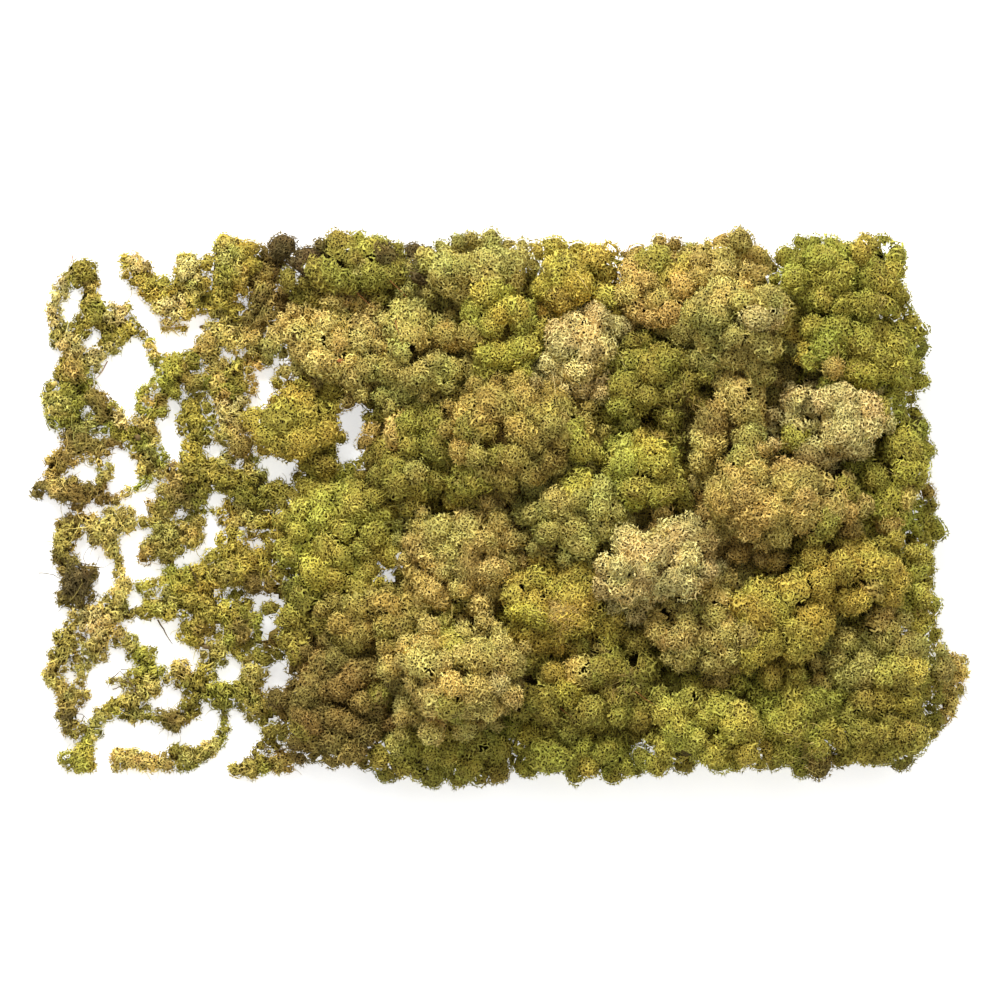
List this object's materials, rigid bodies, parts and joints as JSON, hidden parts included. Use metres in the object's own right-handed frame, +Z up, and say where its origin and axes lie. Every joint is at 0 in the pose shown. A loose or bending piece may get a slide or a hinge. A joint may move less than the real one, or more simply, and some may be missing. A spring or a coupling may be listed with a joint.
{
  "type": "reindeer moss clump",
  "caption": "Clump of dried reindeer moss laid flat: close cushions and raised heads of fine branching tufts that thin out on one side into a loose net of sprigs.",
  "frame": {"origin": "middle of the clump's outline at the level of the surface it lies on", "axes": "+X along the longest extent, from the loose sprigs to the dense side; +Y across the clump; +Z up from the surface"},
  "size_m": [0.3787, 0.2215, 0.0639],
  "materials": {
    "brown_moss": "dry matt dead branchlets and litter, dull brown with straw tips",
    "cream_moss": "dry matt branchlets, pale cream to straw tips over straw stems",
    "gold_moss": "dry matt branchlets, old gold tips over olive bases",
    "green_moss": "dry matt branchlets, yellow-green tips over dark green bases",
    "khaki_moss": "dry matt branchlets, khaki tips over brown bases",
    "lime_moss": "dry matt branchlets, yellow-lime tips over olive bases",
    "olive_moss": "dry matt branchlets, olive tips over dark bases",
    "sage_moss": "dry matt branchlets, pale grey-green to straw tips over olive bases",
    "straw_moss": "dry matt branchlets, straw yellow tips over brown bases",
    "tan_moss": "dry matt branchlets, tan tips over brown bases"
  },
  "bodies": {
    "root": {"crown_brown_slope": "brown_moss", "crown_brown_weave": "olive_moss", "crown_cream_shoulder": "cream_moss", "crown_gold_middle": "gold_moss", "crown_gold_north": "gold_moss", "crown_gold_west": "gold_moss", "crown_green_corner": "green_moss", "crown_green_east_edge": "green_moss", "crown_green_northeast": "green_moss", "crown_green_south": "green_moss", "crown_green_south_rim": "green_moss", "crown_khaki_slope": "khaki_moss", "crown_lime_dome": "lime_moss", "crown_lime_east_edge": "lime_moss", "crown_lime_heart": "lime_moss", "crown_lime_west": "lime_moss", "crown_olive_northwest": "olive_moss", "crown_olive_saddle": "olive_moss", "crown_olive_south": "olive_moss", "crown_olive_south_rim": "olive_moss", "crown_olive_southeast": "olive_moss", "crown_olive_west_edge": "olive_moss", "crown_sage_north": "sage_moss", "crown_sage_southeast": "sage_moss", "crown_sage_west": "sage_moss", "crown_straw_middle": "straw_moss", "crown_straw_south": "straw_moss", "crown_straw_weave": "straw_moss", "crown_straw_west": "straw_moss", "crown_tan_north": "tan_moss", "head_cream_east": "cream_moss", "head_cream_fringe": "cream_moss", "head_gold_cap": "gold_moss", "head_khaki_dome": "khaki_moss", "head_lime": "lime_moss", "head_olive_cap": "gold_moss", "head_pale": "sage_moss", "head_sage_dome": "sage_moss", "head_straw_cap": "straw_moss", "head_tan_cap": "tan_moss", "sprig_hooked": "lime_moss", "sprig_south_a": "straw_moss", "sprig_south_b": "olive_moss", "sprig_west_chain": "khaki_moss", "tangle_brown_head": "brown_moss", "tangle_brown_net": "khaki_moss", "tangle_dead": "brown_moss", "tangle_east_fingers": "straw_moss", "tangle_finger": "gold_moss", "tangle_gold_net": "gold_moss", "tangle_green_net": "green_moss", "tangle_lime_net": "lime_moss", "tangle_northwest": "olive_moss", "tangle_olive_head": "gold_moss", "tangle_olive_net": "olive_moss", "tangle_pillar": "straw_moss", "tangle_south_net": "olive_moss", "tangle_southwest": "brown_moss", "tangle_tan_bridge": "tan_moss", "tangle_west": "green_moss"}
  },
  "joints": []
}
